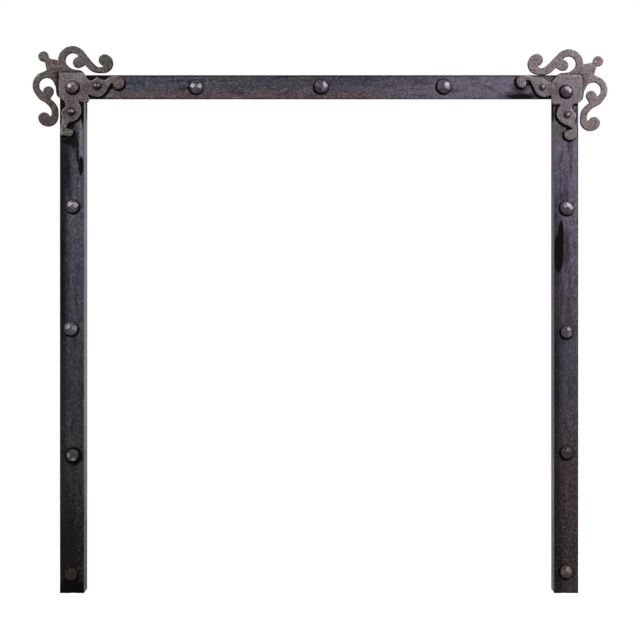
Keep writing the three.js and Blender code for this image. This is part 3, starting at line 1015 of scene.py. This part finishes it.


# Patches as (across the bar from its outer edge, height or distance along, half sizes, strength)
# Some black patches lie in the notches beside the corner plates and are painted shade there
barPatches = {
    "left_leg": {
        "dirt": [
            (0.0445, 0.897, 0.0062, 0.024, 1), (0.0375, 0.929, 0.0035, 0.034, 0.8),
            (0.0478, 1.008, 0.0042, 0.032, 1), (0.0035, 1.028, 0.01, 0.0135, 1),
            (0.0015, 0.985, 0.0025, 0.045, 1), (0.0235, 0.985, 0.0095, 0.012, 1),
            (0.0175, 0.948, 0.0165, 0.009, 0.95), (0.025, 0.996, 0.012, 0.011, 1),
            (0.0285, 0.288, 0.0235, 0.024, 1), (0.024, 0, 0.05, 0.034, 0.9)],
        "soot": [
            (0.03, 0.952, 0.01, 0.028, 1), (0.008, 0.895, 0.02, 0.075, 0.92),
            (0.018, 0.885, 0.007, 0.07, 0.8)],
        "rust": [(0.006, 0.302, 0.007, 0.014, 0.9)],
        "olive": [(0.042, 0.329, 0.009, 0.012, 0.9), (0.04, 0.24, 0.009, 0.04, 0.7)],
    },
    "right_leg": {
        "dirt": [
            (0.0415, 0.714, 0.0125, 0.05, 1), (0.0365, 0.748, 0.0075, 0.042, 1),
            (0.012, 0.63, 0.006, 0.03, 0.45)],
        "soot": [
            (0.026, 0.72, 0.008, 0.05, 0.55), (0.033, 0.832, 0.009, 0.012, 0.6),
            (0.0155, 0.945, 0.0055, 0.08, 0.4), (0.027, 0.862, 0.007, 0.05, 0.35),
            (0.0498, 0.62, 0.003, 0.13, 0.55), (0.005, 1, 0.018, 0.05, 0.1)],
        "olive": [
            (0.045, 0.9, 0.009, 0.045, 0.3), (0.022, 0.594, 0.009, 0.04, 0.75),
            (0.045, 0.665, 0.011, 0.03, 0.6), (0.042, 0.995, 0.02, 0.06, 0.7)],
        "rust": [(0.0075, 0.64, 0.006, 0.09, 0.55), (0.043, 0.6, 0.012, 0.05, 0.6)],
    },
    "lintel": {
        "soot": [
            (0.038, -0.315, 0.012, 0.06, 0.14), (0.028, 0.42, 0.012, 0.02, 0.75),
            (0.045, 0.425, 0.012, 0.045, 0.8)],
        "rust": [(0.041, 0.36, 0.012, 0.06, 0.4)],
        "dirt": [
            (0.0455, 0.421, 0.006, 0.034, 0.85), (0.0045, -0.479, 0.0085, 0.016, 1),
            (0.0035, -0.452, 0.007, 0.018, 1)],
        "rubbedAndSheen": [(0.0365, 0.434, 0.0035, 0.01, 0.55)],
        "olive": [(0.008, 0.482, 0.03, 0.04, 0.6)],
    },
}


def patchMask(name, kind, across, along):
    mask = np.zeros(len(across))
    for atAcross, atAlong, halfAcross, halfAlong, strength in barPatches[name].get(kind, []):
        away = np.hypot((across - atAcross) / halfAcross, (along - atAlong) / halfAlong)
        mask = np.maximum(mask, strength * fall(away, *barLook["patchEdge"]))
    return mask


def legTones(name, part, height):
    # part runs across the face, 0 at the outer edge and 1 at the mouth
    if name == "left_leg":
        violet = 0.15 + 0.12 * hump(height, 0.75, 0.3)
        # painted sheen: a paler band near the mouth, high up
        rubbedAndSheen = 0.5 * hump(part, 0.88, 0.22) * rise(height, 0.86, 0.93) * fall(height, 1.02, 1.05)
        # painted shade: the face darker towards its outer edge, away from the light
        outer = fall(part, 0.14, 0.48) * (0.75 + 0.25 * rise(height, 0.45, 0.6))
        soot = np.maximum(0.92 * outer, 0.3 * fall(height, 0.35, 0.7))
        soot = np.maximum(soot, 0.4 * hump(part, 0.45, 0.35) * rise(height, 0.8, 0.92))
        # darker towards the bottom: soot, and painted shade where the light falls off downward
        soot = np.maximum(soot, 0.92 * fall(height, 0.1, 0.45) * (1 - 0.35 * rise(part, 0.5, 0.9)))
        soot = soot * (1 - 0.2 * fall(height, 0.0, 0.08))
        mouthRust = 0.35 * fall(height, 0.02, 0.5) * rise(part, 0.5, 0.9)
        rust = np.maximum(0.7 * fall(height, 0.02, 0.3) + mouthRust, fall(height, 0.04, 0.1))
        olive = 0.5 * fall(height, 0.3, 0.75)
        dark = fall(height, 0.1, 0.6)
    else:
        violet = 0.45 + 0.35 * rise(height, 0.4, 0.9) + 0.4 * fall(part, 0.16, 0.32) * rise(height, 0.4, 0.6)
        violet = violet * (1 - 0.7 * fall(part, 0.1, 0.5) * rise(height, 0.97, 1.0))
        # painted sheen on the outer part, high up
        rubbedAndSheen = 0.2 * hump(part, 0.3, 0.4) * rise(height, 0.85, 1.0)
        # painted shade on the inner half, towards the mouth, away from the light; and darker lower down
        soot = 0.65 * rise(part, 0.5, 0.95) * fall(height, 0.75, 0.95) + 0.15 * fall(height, 0.5, 0.7)
        rust = 0.95 * fall(height, 0.15, 0.6)
        rust = np.maximum(rust, 0.45 * fall(part, 0.1, 0.5) * fall(height, 0.6, 0.95))
        olive = (0.6 - 0.45 * rise(height, 0.3, 0.85)) * rise(part, 0.4, 0.8)
        dark = fall(height, 0.0, 0.45) * (0.45 + 0.55 * rise(part, 0.3, 0.8))
    return {"violet": violet, "rubbedAndSheen": rubbedAndSheen, "soot": soot, "rust": rust, "dark": dark, "olive": olive}


def lintelTones(part, across):
    # part runs down the face, 0 at the upper edge and 1 at the mouth
    upper = fall(part, 0.3, 0.6)
    return {
        "violet": (0.1 + 0.9 * rise(across, -0.1, 0.33)) * (1 - 0.65 * upper * fall(across, 0.16, 0.33)),
        "rubbedAndSheen": 0.1 * hump(part, 0.45, 0.35),
        "soot": 0.85 * fall(part, 0.03, 0.09) + 0.35 * rise(part, 0.93, 0.99),
        "rust": 0.9 * rise(part, 0.52, 0.72) * (1 - 0.7 * rise(across, -0.02, 0.28)),
        "dark": 0.6 * rise(part, 0.9, 0.98),
        "olive": 0.2 * rise(across, -0.35, -0.2),
    }


def paintBar(piece, name, rivets):
    points = readPoints(piece)
    low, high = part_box(name)
    side, height = name.split("_")[0], points[:, 2]
    if name == "lintel":
        across, along = high.z - height, points[:, 0]
        tones = lintelTones(across / flangeWidth, along)
        toEdge = np.minimum(across, flangeWidth - across)
    else:
        across, along = points[:, 0] - low.x if side == "left" else high.x - points[:, 0], height
        tones = legTones(name, across / flangeWidth, along)
        toEdge = across
    # painted shade with grime: black round the rivets, drifted away from the lamps, and beside the corner
    # plates
    dirt = 0.95 * fall(nearRivets(points, rivets, shadeDrift[side]), *barLook["contact"])
    for plate in ("left_corner_plate", "right_corner_plate"):
        if name == "lintel" or plate.startswith(side):
            dirt = np.maximum(dirt, grimeAndShadeBeside(points, plate))
    dirt = np.maximum(dirt, patchMask(name, "dirt", across, along))
    dirt = np.maximum(dirt, fall(toEdge, *barLook["edgeLine"]))

    # the sides and the return flange
    onSide = points[:, 1] > faceY + barLook["faceDepth"]
    onFlange = points[:, 1] < faceY + flangeThickness
    # the return flanges: painted light where they catch the lamps, and darker lower down
    sides = {
        "violet": 0.3, "dark": 0, "olive": 0, "rust": 0.6 * fall(height, 0.05, 0.45),
        "soot": 0.45 * fall(height, 0.05, 0.4), "rubbedAndSheen": 0.35,
    }
    # the return flange darker towards its top, in under the lintel
    topDarkening = 0.6 * rise(height, 0.97, 1.02)
    if name == "left_leg":
        # this return faces the right lamp: painted light, more of it higher up
        sides["rubbedAndSheen"] = 0.35 + 0.6 * rise(height, 0.2, 0.5)
        atBack = rise(points[:, 1], faceY + 0.5 * flangeWidth, faceY + 0.7 * flangeWidth)
        topDarkening = rise(height, 0.97, 1.02) * atBack
    if name == "right_leg":
        sides["soot"] = 0.1 + 0.18 * rise(height, 0.8, 0.95)
        topDarkening = 0.6 * (0.6 * rise(height, 0.6, 0.9) + 0.9 * rise(height, 0.985, 1.005))
    topDarkening = np.minimum(0.9, topDarkening) * (across > flangeWidth - barLook["skin"])
    dirt = np.where(onFlange, np.where(onSide, 0.1, dirt), topDarkening)
    paint(piece, across=across, along=along, dirt=dirt)
    for kind, tone in tones.items():
        tone = np.maximum(tone, patchMask(name, kind, across, along))
        paint(piece, **{kind: np.where(onSide, sides[kind], tone)})


def buildBar(name, corners, placeAt, length, rivets, seed):
    piece = sweepBar(name, corners, placeAt, length)
    sink(piece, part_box(name), barRelief(seed))
    drill(piece, rivets)
    paintBar(piece, name, rivets)
    finishPiece(piece, name, barIron)
    print(name, len(piece.data.vertices), "points")


for seed, name in enumerate(("left_leg", "right_leg")):
    side = name.split("_")[0]
    rivets = [r for r in rivetNames if r.startswith(side) and r != f"{side}_arm_rivet_top"]
    buildBar(name, angleIron, legPlace(name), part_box(name)[1].z, rivets, 20 + 3 * seed)
lintelRivets = [r for r in rivetNames if r.startswith("lintel") or r.endswith(("corner_rivet", "rivet_top"))]
buildBar("lintel", flatBar, lintelPlace, lintelBar[1].x - lintelBar[0].x, lintelRivets, 31)


# Rivets

rivetLook = {
    "rings": 26,
    "segments": 112,
    "ridge": 0.00025,          # how softly two hammered flats meet
    "lip": 0.13,               # of the head's height, left standing at the rim
    "uneven": 0.045,           # how far the rim leaves a circle
    "undercut": 0.955,
    "ringSpread": 0.85,        # below 1, the rings lie closer together towards the rim
    "flatEdge": (0.0001, 0.0005),  # how far the wear fades beyond a flat's own border
    "shaded": (0.84, 1.02),    # parts of the radius
    "pitDepth": 0.00012,
    "crowding": 38,            # degrees; no other flat lies nearer than this to a bright one
    "tailSteps": 6,
    "shadeDrift": 1.6,         # how much further the shade on a head drifts than the painted shade beside it
    "large": {"flats": 7, "crownTilt": 9, "midTilt": 29, "lowTilt": 48, "tailHeight": 0.003,
              "tailRadius": 0.008},
    "small": {"flats": 5, "crownTilt": 12, "midTilt": 32, "lowTilt": 48, "tailHeight": 0.002,
              "tailRadius": 0.005},
}


def hammeredFlats(radius, height, look, bright, dice):
    # planes on the head's dome, as (slope across, slope up, height at the axis); the bright ones first
    ballRadius = (radius**2 + height**2) / (2 * height)
    tilts = [(tilt, around) for around, tilt, _ in bright]
    tilts.append((dice.uniform(0.3, 1) * look["crownTilt"], dice.uniform(0, 360)))
    start = dice.uniform(0, 360)
    for k in range(look["flats"]):
        around = start + 360 * (k + dice.uniform(-0.22, 0.22)) / look["flats"]
        gaps = [abs((around - other + 180) % 360 - 180) for other, _, _ in bright]
        if all(gap >= rivetLook["crowding"] for gap in gaps):
            tilts.append((look["midTilt"] * dice.uniform(0.78, 1.15), around))
    for k in range(look["flats"] + 2):
        around = start + 360 * (k + 0.5 + dice.uniform(-0.25, 0.25)) / (look["flats"] + 2)
        tilts.append((look["lowTilt"] * dice.uniform(0.92, 1.08), around))
    flats = []
    for tilt, around in tilts:
        tilt, around = math.radians(tilt), math.radians(around)
        slope = math.tan(tilt)
        flats.append((slope * math.cos(around), slope * math.sin(around),
                      ballRadius / math.cos(tilt) - (ballRadius - height)))
    return np.array(flats)


def softLowest(values, softness):
    # the lowest of several values, rounded over where two are close
    lowest = values.min(1)
    return lowest - softness * np.log(np.exp(-(values - lowest[:, None]) / softness).sum(1))


def buildRivet(name, seed):
    dice = random.Random(seed)
    look = rivetLook["small" if "arm_rivet" in name else "large"]
    _, dull, brown, violet, bright = rivetWear[name]
    box, axis, (seatY, backY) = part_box(name), rivetAxes[name], seatOf(name)
    radius, height, shank = headRadius(name), seatY - box[0].y, shankRadius[name]
    segments = rivetLook["segments"]
    turns = np.arange(segments) / segments * 2 * math.pi
    bumps = np.array([noise.noise((2 * math.cos(t), 2 * math.sin(t), seed)) for t in turns])
    rim = 1 - rivetLook["uneven"] * (0.5 + 0.5 * bumps)
    flats = hammeredFlats(radius, height, look, bright, dice)

    parts = np.linspace(0, 1, rivetLook["rings"] + 1)[1:] ** rivetLook["ringSpread"]
    xs = np.concatenate([[0], (parts[:, None] * rim * radius * np.cos(turns)).ravel()])
    zs = np.concatenate([[0], (parts[:, None] * rim * radius * np.sin(turns)).ravel()])
    planes = flats[:, 2] - xs[:, None] * flats[:, 0] - zs[:, None] * flats[:, 1]
    # the bright flats painted lighter: wear, and a painted highlight where they face the lamps
    worn = np.zeros(len(xs))
    for k, (_, _, strength) in enumerate(bright):
        worn = np.maximum(worn, strength * fall(planes[:, k] - planes.min(1), *rivetLook["flatEdge"]))
    tints = np.array([0 if k < len(bright) else dice.random() for k in range(len(flats))])
    facet = tints[planes.argmin(1)]
    heights = softLowest(planes, rivetLook["ridge"])
    heights *= height / heights.max()
    pits = roughness(np.stack([xs, zs, np.full(len(xs), seed)], 1), (420, 420, 1), seed)
    heights = np.maximum(heights - pits * rivetLook["pitDepth"], rivetLook["lip"] * height)
    verts = [(axis.x + x, seatY - h, axis.y + z) for x, h, z in zip(xs, heights, zs)]

    # round the rim, under the head, along the shank and over the closed tail
    tailRadius, tailHeight, tailSteps = look["tailRadius"], look["tailHeight"], rivetLook["tailSteps"]
    rings = [(rim * radius * 0.995, seatY - 0.06 * height), (rim * radius * rivetLook["undercut"], seatY),
             (shank, seatY), (shank, backY), (tailRadius, backY)]
    for k in range(1, tailSteps):
        turn = math.pi / 2 * k / tailSteps
        rings.append((tailRadius * math.cos(turn), backY + tailHeight * math.sin(turn)))
    for ringRadius, y in rings:
        verts.extend((axis.x + r * math.cos(t), y, axis.y + r * math.sin(t))
                     for r, t in zip(np.broadcast_to(ringRadius, segments), turns))
    verts.append((axis.x, backY + tailHeight, axis.y))

    last = len(verts) - 1
    nextOf = [(i, (i + 1) % segments) for i in range(segments)]
    faces = [(0, 1 + i, 1 + j) for i, j in nextOf]
    for start in range(1, last - segments, segments):
        faces += [(start + i, start + segments + i, start + segments + j, start + j) for i, j in nextOf]
    faces += [(last, last - segments + j, last - segments + i) for i, j in nextOf]
    piece = newObject(name + "_forged", verts, faces)
    keepInBox(piece, box)
    points = readPoints(piece)
    driftX, driftZ = rivetLook["shadeDrift"] * np.array(shadeDrift[name.split("_")[0]])
    away = np.hypot(points[:, 0] - axis.x + driftX, points[:, 2] - axis.y + driftZ) / radius
    rest = len(points) - len(worn)
    paint(piece, shade=np.where(points[:, 1] > seatY, 0.3, 0.9 * rise(away, *rivetLook["shaded"])),
          worn=np.pad(worn, (0, rest)), facet=np.pad(facet, (0, rest), constant_values=0.5),
          dull=dull, brown=brown, violet=violet)
    finishPiece(piece, name, rivetIron, sharpAngle=22)


for seed, name in enumerate(rivetNames):
    buildRivet(name, 40 + seed)
print("rivets hammered:", len(rivetNames))
